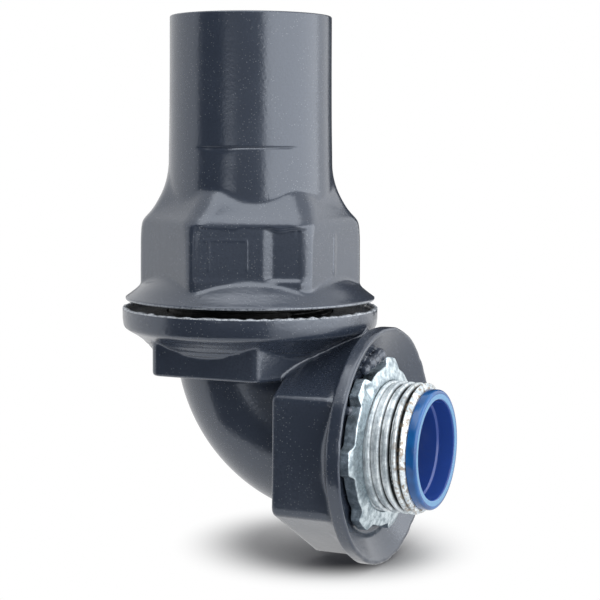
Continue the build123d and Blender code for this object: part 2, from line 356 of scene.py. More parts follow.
castLooks = {
    **zincLooks,
    "pale": (0.86, 0.92, 0.95, 1.0),
    "dull": (0.44, 0.50, 0.54, 1.0),
    "flecks": 420.0, "roughness": (0.3, 0.6), "metal": 0.5, "bump": 0.6,
    # painted shade: the thread grooves are coloured this near black, more so the deeper they are
    "groove": (0.018, 0.023, 0.027, 1.0), "grooveShadeRange": (0.3, 0.65),
    "rust": (0.26, 0.19, 0.12, 1.0), "rustPatches": 1300.0, "rustRange": (0.5, 0.6),
    "rustAlong": (0.0055, 0.0078), "rustShare": 0.8,  # first and full x
    # painted shade: the neck under the nut is coloured nearly black between these heights in z
    "paintedShade": (0.006, 0.007, 0.008, 1.0),
    "paintedShadeStart": (0.020, 0.0204), "paintedShadeEnd": (0.0286, 0.0306),  # z
}


def makeZinc(name, looks):
    # Plated metal: bright and dull flecks with a fine grain.
    material, tree, shader, place = startMaterial(name)
    grain = noise(tree, place, looks["flecks"], 5.0, 0.65)
    share = ramp(tree, grain, *looks["fleckRange"])
    colour = mixColours(tree, share, looks["pale"], looks["dull"])
    rough = ramp(tree, grain, *looks["glossRange"], *looks["roughness"])
    setInputs(tree, shader, {"Base Color": colour, "Roughness": rough, "Metallic": looks["metal"]})
    addBump(tree, shader, grain, looks)
    return material, tree, shader, place, colour


def makeCastZinc():
    # The same on the casting, with the thread grooves painted dark as shade, rusty flecks at the hub's end
    # and the neck under the nut painted nearly black as shade.
    looks = castLooks
    material, tree, shader, place, colour = makeZinc("castZinc", looks)
    # painted shade: the deeper a point lies in a groove, the darker its colour
    groove = addNode(tree, "ShaderNodeAttribute", {"attribute_name": "groove"}).outputs["Fac"]
    colour = mixColours(tree, ramp(tree, groove, *looks["grooveShadeRange"]), colour, looks["groove"])
    parts = splitPlace(tree, place)
    patches = noise(tree, place, looks["rustPatches"], 2.0)
    rust = mathNode(tree, "MULTIPLY", ramp(tree, parts["X"], *looks["rustAlong"], 0.0, looks["rustShare"]),
                    ramp(tree, patches, *looks["rustRange"]))
    colour = mixColours(tree, rust, colour, looks["rust"])
    # painted shade: the neck is coloured nearly black between the two heights
    neck = mathNode(tree, "MULTIPLY", ramp(tree, parts["Z"], *looks["paintedShadeEnd"], 1.0, 0.0),
                    ramp(tree, parts["Z"], *looks["paintedShadeStart"]))
    tree.links.new(mixColours(tree, neck, colour, looks["paintedShade"]), shader.inputs["Base Color"])
    return material


throatLooks = {
    "inside": (0.026, 0.072, 0.320, 1.0),
    "deep": (0.005, 0.060, 0.220, 1.0),
    "bright": (0.010, 0.115, 0.350, 1.0),
    # painted highlight: the face round the mouth is coloured paler blue
    "rim": (0.09, 0.26, 0.47, 1.0),
    "toneRange": (0.35, 0.65), "skin": {"Broad": 160.0, "Fine": 1800.0},
    "highlightFaceFrom": 0.04184, "highlightFaceRadius": 0.0112,  # the pale face
    # painted shade: below this radius the bore's inside takes the navy colour
    "paintedShadeRadius": 0.01004, "paintedShadeSoft": 0.0002,  # the navy bore
    "roughness": 0.16, "specular": 0.5, "bump": 0.1, "bumpDeep": 0.0005,
}

ringLooks = {
    "dark": (0.62, 0.61, 0.56, 1.0),
    "light": (0.72, 0.71, 0.66, 1.0),
    "toneRange": (0.35, 0.65), "roughness": 0.42, "bump": 0.1, "bumpDeep": 0.0004,
}


def makeBluePlastic():
    # Royal blue lip with its face round the mouth painted paler as a highlight, and the bore painted navy as
    # shade below its radius.
    looks = throatLooks
    material, tree, shader, place = startMaterial("bluePlastic")
    skin = placeGroup(tree, mouldedSkin, {"Vector": place, **looks["skin"]})
    waviness = ramp(tree, skin["Tone"], *looks["toneRange"])
    tone = mixColours(tree, waviness, looks["deep"], looks["bright"])
    across = vectorNode(tree, "MULTIPLY", place, (0.0, 1.0, 1.0))[0]
    radius = vectorNode(tree, "LENGTH", across)["Value"]
    # painted shade inside the bore
    inside = ramp(tree, radius, looks["paintedShadeRadius"], looks["paintedShadeRadius"] + looks["paintedShadeSoft"])
    colour = mixColours(tree, inside, looks["inside"], tone)
    highlightFaceFrom = looks["highlightFaceFrom"] + crossing[0]
    # painted highlight on the face round the mouth
    rim = mathNode(tree, "MULTIPLY", mathNode(tree, "GREATER_THAN", splitPlace(tree, place)["X"], highlightFaceFrom),
                   mathNode(tree, "LESS_THAN", radius, looks["highlightFaceRadius"]))
    setInputs(tree, shader, {"Base Color": mixColours(tree, rim, colour, looks["rim"]),
                             "Roughness": looks["roughness"], "Specular IOR Level": looks["specular"]})
    addBump(tree, shader, skin["Height"], looks)
    return material


def makeRingPlastic():
    # Off-white plastic whose tone follows the skin's waviness.
    looks = ringLooks
    material, tree, shader, place = startMaterial("ringPlastic")
    skin = placeGroup(tree, mouldedSkin, {"Vector": place})
    waviness = ramp(tree, skin["Tone"], *looks["toneRange"])
    tone = mixColours(tree, waviness, looks["dark"], looks["light"])
    setInputs(tree, shader, {"Base Color": tone, "Roughness": looks["roughness"]})
    addBump(tree, shader, skin["Height"], looks)
    return material


greyCoat = makeCoat()
brightZinc = makeZinc("brightZinc", zincLooks)[0]
castZinc = makeCastZinc()
bluePlastic = makeBluePlastic()
ringPlastic = makeRingPlastic()
print("materials made")


# Gland nut's coat with its sleeve

nutCoat = {
    "turn": -63.4,  # direction of the flat that faces the camera, from +X
    "twist": 4.5, "twistFrom": 44.6, "twistOver": 5,  # the shoulder's facets turn past the flats
    "hexagon": [  # height, distance to the flats, rounding of the corners
              (28.9, 20.2, 3.4), (38.0, 20.2, 3.6), (42.0, 20.2, 4.1), (43.6, 20.18, 4.9),
              (44.6, 20.05, 5.6), (45.3, 19.7, 6.0), (46.3, 18.95, 6.4),
              (49.3, 17.0, 6.6), (53.0, 14.6, 6.6), (54.5, 13.7, 6.6), (60.0, 11.0, 6.0), (86.5, 8.0, 6.0)],
    "skirt": [(28.9, 25.86), (29.2, 25.45), (29.7, 24.76), (30.3, 24.0), (31.4, 22.65), (33.3, 20.2),
              (36.0, 17.0), (40.0, 13.0), (86.5, 5.0)],
    "skirtBlend": 0.9,
    "sleeve": [(28.9, 17.0), (53.4, 17.0), (56.0, 16.9), (59.1, 16.84), (63.0, 16.76), (72.0, 16.66),
               (86.5, 16.6)],
    "foot": 0.6, "footSides": 3.6,  # fillet where the shoulder runs into the sleeve, and at the two sides
    "sidesFrom": 0.7, "sidesSoft": 0.3, "sidesCorner": 0.5,
    "top": 86.5, "topRound": 0.35, "bore": 13.9, "boreRound": 0.5, "boreFrom": 85.5, "boreRows": 24,
    "core": [(50.6, 15.9, 15.8), (45.6, 18.2, 18.0), (43.2, 19.2, 12.0), (42.2, 19.2, 1.2),
             (29.9, 19.2, 1.2)],
    "underside": [(29.2, 22.8), (28.6, 23.5), (28.4, 23.75), (28.4, 25.5), (28.45, 25.75), (28.6, 25.86)],
    "columns": [(-34, 34, 150), (34, 326, 250)],  # from the facing flat, closer together on it
    "rows": [(28.9, 33.3, 26), (33.3, 44.5, 40), (44.5, 56.5, 44), (56.5, 58.4, 4), (58.4, 61.2, 20),
             (61.2, 86.15, 20)],
}

nutMarks = {  # a range is its first and last value and how soft each end is
    "flatAt": 20.2, "widest": 0.7,
    "panelTop": 44.3, "edgeWaves": [(0.22, 0.55, 1.0), (-0.12, 1.3, 0.0)],  # height, waves, phase
    "panelAcross": (-11.4, 10.6, 0.9, 0.9), "panelBottom": 33.4, "panelSoft": (0.9, 0.45), "panelDeep": 0.16,
    "stepAcross": (2.2, 13.2, 3.1, 3.2), "stepBottom": 33.0, "stepSoft": (1.6, 0.9), "stepDeep": 0.58,
    "frameAcross": (-9.4, -0.2, 0.5, 0.5), "frameUp": (35.4, 41.8, 0.5, 0.4), "frameTop": 41.7,
    "frameSides": (-8.0, -0.5), "frameLine": (0.22, 0.25), "frameHigh": 0.08,
    "seam": 57.5, "seamUp": (33.5, 43.4, 2, 2), "seamWide": 0.45, "seamHigh": 0.16,
    "crease": 59.8, "creaseAim": -64.4, "creaseAcross": (-40, 38, 12, 12), "creaseDeep": 0.26,
    "creaseWide": (0.17, 0.2), "lens": (-20, 11, 0.55),
}


def hexRadius(angle, flats, edge):
    # Radius of a rounded hexagon: the flat's line, or the corner's circle beyond the flat's end.
    edge = np.clip(edge, 0.01, flats)
    centre = (flats - edge) * 2 / math.sqrt(3)
    fromFlat = wrapped(angle, math.pi / 3)
    fromCorner = math.pi / 6 - np.abs(fromFlat)
    arc = centre * np.cos(fromCorner) + np.sqrt(np.maximum(edge**2 - (centre * np.sin(fromCorner))**2, 0))
    line = flats / np.cos(fromFlat)
    onArc = line * np.sin(np.abs(fromFlat)) > (flats - edge) / math.sqrt(3)
    return np.where(onArc, arc, line)


def smoothCurve(knots, values, places):
    # Cubic through the knots, with each slope taken from the neighbours.
    knots, values = np.asarray(knots, float), np.asarray(values, float)
    slopes = np.gradient(values, knots)
    index = np.clip(np.searchsorted(knots, places) - 1, 0, len(knots) - 2)
    width = knots[index + 1] - knots[index]
    t = np.clip((places - knots[index]) / width, 0, 1)
    return ((2 * t**3 - 3 * t**2 + 1) * values[index] + (t**3 - 2 * t**2 + t) * slopes[index] * width
            + (-2 * t**3 + 3 * t**2) * values[index + 1] + (t**3 - t**2) * slopes[index + 1] * width)


def bell(offset, width):
    # 1 at no offset, falling to 0 either side: e to the power -(offset / width) squared.
    return np.exp(-(offset / width)**2)


def nutRelief(angle, heights):
    # Marks of the mould as heights above the plain surface: on the facing flat a sunk panel with a wavy
    # upper edge, a step down to the right and a faint raised frame; a seam on the flat to its right;
    # and a crease round the front of the sleeve, wider at its left.
    marks = nutMarks
    side = wrapped(angle - math.radians(nutCoat["turn"]), 2 * math.pi)
    along = marks["flatAt"] * np.tan(np.clip(side, -marks["widest"], marks["widest"]))
    edge = marks["panelTop"] + sum(high * np.sin(count * along + phase)
                                   for high, count, phase in marks["edgeWaves"])
    panel = (between(heights, marks["panelBottom"], edge, *marks["panelSoft"])
             * between(along, *marks["panelAcross"]))
    step = (between(heights, marks["stepBottom"], edge, *marks["stepSoft"])
            * between(along, *marks["stepAcross"]))
    level, upright = marks["frameLine"]
    frameLine = bell(heights - marks["frameTop"], level) * between(along, *marks["frameAcross"])
    for place in marks["frameSides"]:
        frameLine = frameLine + bell(along - place, upright) * between(heights, *marks["frameUp"])
    fromSeam = marks["flatAt"] * (side - math.radians(marks["seam"]))
    seam = bell(fromSeam, marks["seamWide"]) * between(heights, *marks["seamUp"])
    aim = np.degrees(wrapped(angle - math.radians(marks["creaseAim"]), 2 * math.pi))
    (above, below), (lensAt, lensWide, lensHigh) = marks["creaseWide"], marks["lens"]
    width = np.where(heights > marks["crease"], above, below + lensHigh * bell(aim - lensAt, lensWide))
    crease = bell(heights - marks["crease"], width) * between(aim, *marks["creaseAcross"])
    return (marks["frameHigh"] * frameLine + marks["seamHigh"] * seam - marks["panelDeep"] * panel
            - marks["stepDeep"] * step - marks["creaseDeep"] * crease)


def nutCoatShape():
    # Rows run along a closed section: up the outside, over the sleeve's end, down the bore and round
    # the steel core, and back out under the skirt. Outside, a row's radius is the largest of the
    # sleeve's circle, the skirt's circle and a rounded hexagon that narrows above the flats like a
    # pyramid, blended widely at the corners of its two sides and tightly elsewhere, plus the relief.
    sizes = nutCoat
    angle = np.concatenate([np.linspace(*run, endpoint=False) for run in sizes["columns"]])
    angle = np.radians(angle + sizes["turn"])[None, :]
    heights = np.concatenate([np.linspace(*run, endpoint=False) for run in sizes["rows"]])[:, None]
    hexTable = np.array(sizes["hexagon"])
    skirtTable, sleeveTable = np.array(sizes["skirt"]), np.array(sizes["sleeve"])
    twist = sizes["twist"] * smoothStep((heights - sizes["twistFrom"]) / sizes["twistOver"])
    fromFlat = angle - np.radians(sizes["turn"] + twist)
    fromFacing = angle - math.radians(sizes["turn"])
    toCorner = math.pi / 6 - np.abs(wrapped(fromFlat, math.pi / 3))
    aside = (smoothStep((np.abs(np.sin(fromFacing)) - sizes["sidesFrom"]) / sizes["sidesSoft"])
             * smoothStep(1 - toCorner / sizes["sidesCorner"]))
    foot = sizes["foot"] + (sizes["footSides"] - sizes["foot"]) * aside
    hexagon = hexRadius(fromFlat, smoothCurve(hexTable[:, 0], hexTable[:, 1], heights),
                        smoothCurve(hexTable[:, 0], hexTable[:, 2], heights))
    skirt = np.interp(heights, skirtTable[:, 0], skirtTable[:, 1])
    sleeve = smoothCurve(sleeveTable[:, 0], sleeveTable[:, 1], heights)
    outside = smoothMax(smoothMax(hexagon, skirt, sizes["skirtBlend"]), sleeve, foot)
    radii = [outside + nutRelief(angle, heights)]
    turn = np.linspace(0, math.pi / 2, 6)[:, None]
    curve, inner = sizes["topRound"], sizes["boreRound"]
    bore = np.linspace(sizes["boreFrom"], sizes["core"][0][0], sizes["boreRows"])
    rest = np.concatenate([
        np.concatenate([sizes["top"] - curve + curve * np.sin(turn),
                        sleeveTable[-1, 1] - curve + curve * np.cos(turn)], axis=1),
        np.concatenate([sizes["top"] - inner + inner * np.sin(turn[::-1]),
                        sizes["bore"] + inner - inner * np.cos(turn[::-1])], axis=1),
        np.stack([bore, np.full(len(bore), sizes["bore"])], axis=1)])
    radii.append(np.broadcast_to(rest[:, 1:], (len(rest), angle.shape[1])))
    core, underside = np.array(sizes["core"]), np.array(sizes["underside"])
    radii.append(hexRadius(fromFacing, core[:, 1:2], core[:, 2:3]))
    radii.append(np.broadcast_to(underside[:, 1:], (len(underside), angle.shape[1])))
    along = np.concatenate([heights, rest[:, :1], core[:, :1], underside[:, :1]])
    points = aboutZ(np.concatenate(radii), along, angle)
    return points.reshape(-1, 3), ringQuads(len(along), angle.shape[1])


makePiece("nutCoat", nutCoatShape(), greyCoat, "gland_nut", ["gland_nut_jacket"])


# Elbow's coat

elbowCoat = {
    "flats": 40.4, "edge": 1.0,  # of both hexagons
    "bendRadius": 20.5, "tube": 15.5, "wireway": 12.0,
    "collar": (13.8, 23.0), "hubHex": (14.9, 28.0),  # first and last z, and x
    "coneBottom": 15.5, "cone": [(15.0, 16.0), (17.9, 20.2), (19.2, 21.25), (20.4, 22.5), (21.4, 23.9),
                                 (22.3, 25.5), (22.8, 26.1), (23.4, 26.35), (24.6, 26.5), (26.8, 26.5)],
    "ripple": 0.07, "rippleStep": 1.05, "rippleTop": 20.0,  # folds of the coat round the cone
    "rimTop": 26.8, "rimRag": (0.06, 0.12), "rimRecess": 0.8, "rimLip": 1.1, "lipRag": 0.15,
    "neck": 17.06, "neckBottom": 25.0,
    "flangeRadius": 24.0, "flangeBack": 28.3, "flangeFront": 35.0, "fillet": 3.8, "bandRag": 0.06,
    "lipPlane": 31.2, "planeRag": (0.05, 0.07),
    "dish": [(0.0, 28.0), (18.0, 28.0), (18.6, 28.6), (23.3, 31.2), (24.0, 31.6), (40.0, 41.0)],
    "hubBore": 13.26, "hubBoreFrom": 27.0,
    "rounds": {"collar": 0.9, "rim": 0.3, "hub": 1.1, "band": 0.5, "flange": 0.3, "lip": 0.25, "dish": 0.55},
    "joins": {"collar": 0.7, "cone": 0.25, "hub": 0.7, "flange": 0.4, "lump": 0.3},
    "low": (-27.5, -27.5, -25.0), "high": (32.2, 27.5, 27.8), "grid": 0.44,
    "lumps": [(30.3, 18.8, 98, 1.5), (30.1, 18.5, 104.5, 1.3), (30.0, 18.7, 111, 1.4), (29.7, 18.3, 117, 1.0),
              (29.6, 18.5, 150, 0.9)],  # x, radius, angle, size
}


def hexDistance(across, along, flats, edge):
    # Distance to a hexagonal prism's sides, with flats facing along the first axis.
    first, second = np.abs(across), np.abs(along)
    slanted = first * 0.5 + second * math.sqrt(0.75)
    return smoothMax(first - flats / 2, slanted - flats / 2, edge)


def tableDistance(value, places, table):
    # Distance from a profile: the gap to the table's line, less for a steeper line.
    knots, values = np.array(table).T
    slope = np.interp(places, knots, np.gradient(values, knots))
    return (value - np.interp(places, knots, values)) / np.sqrt(1 + slope**2)


def elbowField(x, y, z):
    # Signed distance, negative inside, to the elbow's coat: bend, collar, cone and rim about Z,
    # hub hexagon and flange about X, joined with small fillets, less the dish and the bores.
    sizes, rounds, joins = elbowCoat, elbowCoat["rounds"], elbowCoat["joins"]
    bend = sizes["bendRadius"]
    (collarBottom, collarTop), (hubBack, hubFront) = sizes["collar"], sizes["hubHex"]
    aroundZ, aroundX = np.hypot(x, y), np.hypot(y, z)
    arc = np.hypot(np.hypot(x - bend, z - bend) - bend, y)
    middle = np.where((x < bend) & (z < bend), arc, np.where(z >= bend, aroundZ, aroundX))
    tube = np.where((x >= bend) & (z >= bend), np.minimum(aroundZ, aroundX), middle) - sizes["tube"]
    tube = np.maximum(tube, np.maximum(x - hubFront, z - collarTop))

    collar = hexDistance(y, x, sizes["flats"], sizes["edge"])
    collar = smoothMax(collar, np.maximum(collarBottom - z, z - collarTop), rounds["collar"])

    direction = np.arctan2(y, x)
    fold = np.sin(2 * math.pi * z / sizes["rippleStep"] + 0.8 * np.sin(direction))
    cone = tableDistance(aroundZ + sizes["ripple"] * fold * (z < sizes["rippleTop"]), z, sizes["cone"])
    lipInside = sizes["cone"][-1][1] - sizes["rimLip"] + sizes["lipRag"] * waves(direction, 11, 6, 4, 30)
    recess = smoothStep((lipInside - aroundZ) / 0.5 + 0.5)
    least, rag = sizes["rimRag"]
    ragged = (least + rag * waves(direction, 4, 9, 5, 70)) * (1 - recess)
    rimTop = sizes["rimTop"] + ragged - sizes["rimRecess"] * recess
    cone = smoothMax(cone, np.maximum(z - rimTop, sizes["coneBottom"] - z), rounds["rim"])

    hubHex = hexDistance(y, z, sizes["flats"], sizes["edge"])
    hubHex = smoothMax(hubHex, np.maximum(hubBack - x, x - hubFront), rounds["hub"])

    filletFrom = sizes["flangeBack"] - sizes["fillet"]
    run = sizes["fillet"] - np.hypot(x - filletFrom, aroundX - sizes["flangeRadius"])
    turn = np.arctan2(z, y)
    band = aroundX - sizes["flangeRadius"] + sizes["bandRag"] + sizes["bandRag"] * waves(turn, 21, 5, 3, 24)
    flange = smoothMax(smoothMax(run, band, rounds["band"]),
                       np.maximum(filletFrom - x, x - sizes["flangeFront"]), rounds["flange"])

    body = tube
    for name, form in (("collar", collar), ("cone", cone), ("hub", hubHex), ("flange", flange)):
        body = smoothMin(body, form, joins[name])

    front = tableDistance(x, aroundX, sizes["dish"])
    least, rag = sizes["planeRag"]
    lip = x - sizes["lipPlane"] - least + rag * waves(turn, 31, 7, 4, 50)
    body = smoothMax(body, smoothMax(front, lip, rounds["lip"]), rounds["dish"])

    for along, radius, degrees, size in sizes["lumps"]:
        place = math.radians(degrees)
        away = np.sqrt((x - along)**2 + (y - radius * math.cos(place))**2
                       + (z - radius * math.sin(place))**2)
        body = smoothMin(body, away - size, joins["lump"])

    neck = np.maximum(aroundZ - sizes["neck"], sizes["neckBottom"] - z)
    hub = np.maximum(aroundX - sizes["hubBore"], sizes["hubBoreFrom"] - x)
    return np.maximum(body, -np.minimum(middle - sizes["wireway"], np.minimum(neck, hub)))


def netted(field, low, high, step, pulls=4, nudge=0.02, farthest=0.3, flattest=0.2):
    # Surface net: a point in each grid cell that the surface crosses, at the mean of its crossings,
    # and a quad round each crossed grid edge. Points are then drawn onto the surface along its slope.
    axes = [np.arange(a, b + step, step) for a, b in zip(low, high)]
    values = field(axes[0][:, None, None], axes[1][None, :, None], axes[2][None, None, :])
    inside = values < 0
    shape = np.array(values.shape) - 1
    number = np.zeros(shape, np.int8)
    corners = [(i, j, k) for i in (0, 1) for j in (0, 1) for k in (0, 1)]
    for i, j, k in corners:
        number += inside[i:shape[0] + i, j:shape[1] + j, k:shape[2] + k]
    cells = np.argwhere((number > 0) & (number < 8))
    index = np.full(shape, -1)
    index[tuple(cells.T)] = np.arange(len(cells))
    total, crossings = np.zeros((len(cells), 3)), np.zeros(len(cells))
    for start in corners:
        for axis in range(3):
            if start[axis]:
                continue
            a = cells + start
            b = a + np.eye(3, dtype=int)[axis]
            va, vb = values[tuple(a.T)], values[tuple(b.T)]
            crossed = (va < 0) != (vb < 0)
            spot = a.astype(float)
            spot[:, axis] += np.where(crossed, va / np.where(crossed, va - vb, 1), 0)
            total += spot * crossed[:, None]
            crossings += crossed
    points = np.array(low) + total / crossings[:, None] * step
    quads = []
    for axis in range(3):
        one, two = (axis + 1) % 3, (axis + 2) % 3
        edges = np.argwhere(inside != np.roll(inside, -1, axis))
        edges = edges[(edges[:, axis] < shape[axis]) & (edges[:, one] > 0) & (edges[:, two] > 0)
                      & (edges[:, one] < shape[one]) & (edges[:, two] < shape[two])]
        unitOne, unitTwo = np.eye(3, dtype=int)[one], np.eye(3, dtype=int)[two]
        around = [edges, edges - unitOne, edges - unitOne - unitTwo, edges - unitTwo]
        faces = np.stack([index[tuple(place.T)] for place in around], axis=-1)
        leaving = inside[tuple(edges.T)]
        quads.append(np.where(leaving[:, None], faces, faces[:, ::-1]))
    for _ in range(pulls):
        gap = field(*points.T)
        slope = np.stack([(field(*(points + offset).T) - field(*(points - offset).T)) / (2 * nudge)
                          for offset in np.eye(3) * nudge], axis=-1)
        length = np.maximum((slope**2).sum(axis=1), flattest)
        points -= np.clip(gap / length, -farthest, farthest)[:, None] * slope
    return points, np.concatenate(quads)


elbowShape = netted(elbowField, elbowCoat["low"], elbowCoat["high"], elbowCoat["grid"])
makePiece("elbowCoat", elbowShape, greyCoat, "elbow", ["elbow_jacket"])


# Casting with its threads

castThreads = {
    "pitch": 1.814, "depth": 1.0, "crest": 0.26, "flank": 0.66,  # 14 turns to the inch, right-handed
    "plainEnd": 0.3, "fades": (1.2, 1.4), "row": 0.11, "columns": 220,
    "hub": {"radius": 13.2, "start": 27.4, "end": 39.9, "chamfer": 0.9, "phase": 0.18,
            "inner": [(11.4, 39.9), (11.4, 27.4)]},
    "neck": {"radius": 17.0, "start": 25.2, "end": 43.0, "chamfer": 0.6, "phase": 0.3,
             "inner": [(16.25, 43.0), (15.85, 42.6), (15.85, 25.2)]},  # beside the seat's mouth
}

coreSizes = {
    "flanges": (13.9, 28.4), "flangeWithin": 18.2,
    "hub": (27.5, 11.9), "hubWithin": 12.0,  # from, past which radius
    "neck": (25.5, 16.3), "neckWithin": 15.9, "mouthFrom": 42.9, "mouthWithin": 16.3,
}


def threadTube(sizes, place):
    # Tube whose outside is a helix: the depth is a flat-topped triangle wave of (along / pitch - turn).
    # Also returns how deep each point lies in a groove, 0 to 1.
    threads = castThreads
    angle = circleAngles(threads["columns"])[:, None]
    start, end = sizes["start"], sizes["end"]
    along = np.linspace(start, end, int((end - start) / threads["row"]))[None, :]
    phase = np.mod(along / threads["pitch"] - angle / (2 * math.pi) + sizes["phase"], 1.0)
    groove = smoothStep((np.abs(2 * phase - 1) - threads["crest"]) / threads["flank"])
    groove = groove * between(along, start, end - threads["plainEnd"], *threads["fades"])
    crest = sizes["radius"] - np.maximum(0, along - (end - sizes["chamfer"]))
    outer = place(crest - groove * threads["depth"], along, angle)
    innerRadius, innerAlong = np.array(sizes["inner"]).T
    inner = place(innerRadius[None, :], innerAlong[None, :], angle)
    points = np.concatenate([outer, inner], axis=1)
    grooves = np.concatenate([groove, np.zeros((len(groove), len(innerRadius)))], axis=1)
    return (points.reshape(-1, 3), ringQuads(points.shape[0], points.shape[1])), grooves.ravel()


def castingCore():
    # Copy of the solid's triangles, merged, with both crest cylinders drawn in to the thread's root
    # and the flanges drawn in well under the coat.
    sizes = coreSizes
    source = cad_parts["elbow_casting"].data
    points = np.zeros(len(source.vertices) * 3)
    source.vertices.foreach_get("co", points)
    points = (points.reshape(-1, 3) - crossing) * 1000
    source.calc_loop_triangles()
    triangles = np.zeros(len(source.loop_triangles) * 3, int)
    source.loop_triangles.foreach_get("vertices", triangles)
    merged, index = np.unique(np.round(points, 3), axis=0, return_inverse=True)
    triangles = index.ravel()[triangles.reshape(-1, 3)]
    aroundX, aroundZ = np.hypot(merged[:, 1], merged[:, 2]), np.hypot(merged[:, 0], merged[:, 1])
    hubFrom, hubPast = sizes["hub"]
    onHub = (merged[:, 0] > hubFrom) & (aroundX > hubPast)
    merged[onHub, 1:] *= (sizes["hubWithin"] / aroundX[onHub])[:, None]
    first, last = sizes["flanges"]
    for along, around, ring in ((merged[:, 0], aroundX, [1, 2]), (merged[:, 2], aroundZ, [0, 1])):
        flange = (along > first) & (along < last) & (around > sizes["flangeWithin"])
        merged[np.ix_(flange, ring)] *= (sizes["flangeWithin"] / around[flange])[:, None]
    neckFrom, neckPast = sizes["neck"]
    onNeck = (merged[:, 2] > neckFrom) & (aroundZ > neckPast)
    within = np.where(merged[:, 2] > sizes["mouthFrom"], sizes["mouthWithin"], sizes["neckWithin"])
    merged[onNeck, :2] *= (within[onNeck] / aroundZ[onNeck])[:, None]
    return merged, triangles


def castingPiece():
    # Both thread tubes and the core in one mesh, with the grooves as a point attribute.
    corePoints, coreTriangles = castingCore()
    hubTube, hubGrooves = threadTube(castThreads["hub"], aboutX)
    neckTube, neckGrooves = threadTube(castThreads["neck"], aboutZ)
    points, quads = joined(hubTube, neckTube)
    mesh = bpy.data.meshes.new("casting")
    everything = np.concatenate([points, corePoints]) * 0.001 + crossing
    mesh.from_pydata(everything, [], quads.tolist() + (coreTriangles + len(points)).tolist())
    mesh.polygons.foreach_set("use_smooth", np.ones(len(mesh.polygons), bool))
    mesh.validate()
    grooves = np.concatenate([hubGrooves, neckGrooves, np.zeros(len(corePoints))])
    mesh.attributes.new("groove", "FLOAT", "POINT").data.foreach_set("value", grooves)
    mesh.set_sharp_from_angle(angle=math.radians(35))
    placePiece("casting", mesh, castZinc, "elbow", ["elbow_casting"])


castingPiece()


# Locknut

locknutSizes = {
    "back": 28.6, "front": 31.1, "crown": 0.5, "crownWide": 2.4, "bore": 13.26, "body": 16.2, "tip": 17.9,
    "lugs": 7, "lugWidth": 19.0, "lugSoft": 6.0, "phase": 80.0, "bent": 0.45, "bentOver": 1.7,
    "dimpleAt": 128.0, "dimpleRadius": 15.9, "dimpleDeep": 0.55, "dimpleWide": (0.95, 1.35),
    "uneven": 0.05, "columns": 720,
}


def locknutShape():
    # Section carried round the axis: the outer radius swells into lugs, which are bent back a little,
    # and one lug has an oval dimple from the press.
    sizes = locknutSizes
    angle = circleAngles(sizes["columns"])[:, None]
    perRadian = 57.3
    fromLug = wrapped(np.degrees(angle) - sizes["phase"], 360 / sizes["lugs"])
    lug = smoothStep((sizes["lugWidth"] / 2 + sizes["lugSoft"] / 2 - np.abs(fromLug)) / sizes["lugSoft"])
    outer = sizes["body"] + (sizes["tip"] - sizes["body"]) * lug
    outer = outer + sizes["uneven"] * waves(angle, 41, 5, 4, 30)
    section = roundedLoop([(0, 0, 0.05), (1, 0, 0.06), (1, 1, 0.09), (0, 1, 0.05)], 0.06, 5)
    share, depth = section[None, :, 0], section[None, :, 1]
    radius = sizes["bore"] + (outer - sizes["bore"]) * share
    front = sizes["front"] + sizes["crown"] * np.clip((sizes["body"] - radius) / sizes["crownWide"], 0, 1)
    front = front - sizes["bent"] * smoothStep((radius - sizes["body"]) / sizes["bentOver"])
    across = (np.degrees(angle) - sizes["dimpleAt"]) / perRadian * radius
    sideways, outwardly = sizes["dimpleWide"]
    dimple = bell(across, sideways) * bell(radius - sizes["dimpleRadius"], outwardly)
    front = front - sizes["dimpleDeep"] * dimple
    along = sizes["back"] + (front - sizes["back"]) * depth
    return aboutX(radius, along, angle).reshape(-1, 3), ringQuads(len(angle), len(section))


makePiece("locknut", locknutShape(), brightZinc, "locknut", ["locknut"])


# Throat, ferrule, sealing ring and nut core

throatSizes = {
    "seat": 30.0, "outside": 11.0, "hubEnd": 39.9, "lipRadius": 12.05, "lip": 2.0,
    "bore": 10.0, "stepBore": 9.6, "stepAt": 38.5, "stepSlope": 0.35, "columns": 256,
}


def throatShape():
    # Liner's section turned about X: tube, lip over the hub's end, and a step in the bore.
    sizes = throatSizes
    end = sizes["hubEnd"] + sizes["lip"]
    outline = roundedLoop([
        (sizes["stepBore"], sizes["seat"], 0.2), (sizes["outside"], sizes["seat"], 0.2),
        (sizes["outside"], sizes["hubEnd"], 0.0), (sizes["lipRadius"], sizes["hubEnd"], 0.25),
        (sizes["lipRadius"], end, 0.6), (sizes["bore"], end, 0.4),
        (sizes["bore"], sizes["stepAt"], 0.1),
        (sizes["stepBore"], sizes["stepAt"] - sizes["stepSlope"], 0.15)], 0.5, 8)
    return turned(outline, sizes["columns"], aboutX)


makePiece("throat", throatShape(), bluePlastic, "elbow", ["insulated_throat"])

ferruleSizes = {
    "floor": 22.5, "skirt": 13.7, "skirtTop": 29.0, "wall": 0.8, "floorTop": 23.9, "barrel": 10.45,
    "bore": 9.7, "top": 40.0, "taper": 0.4, "taperLong": 4, "columns": 192,
}


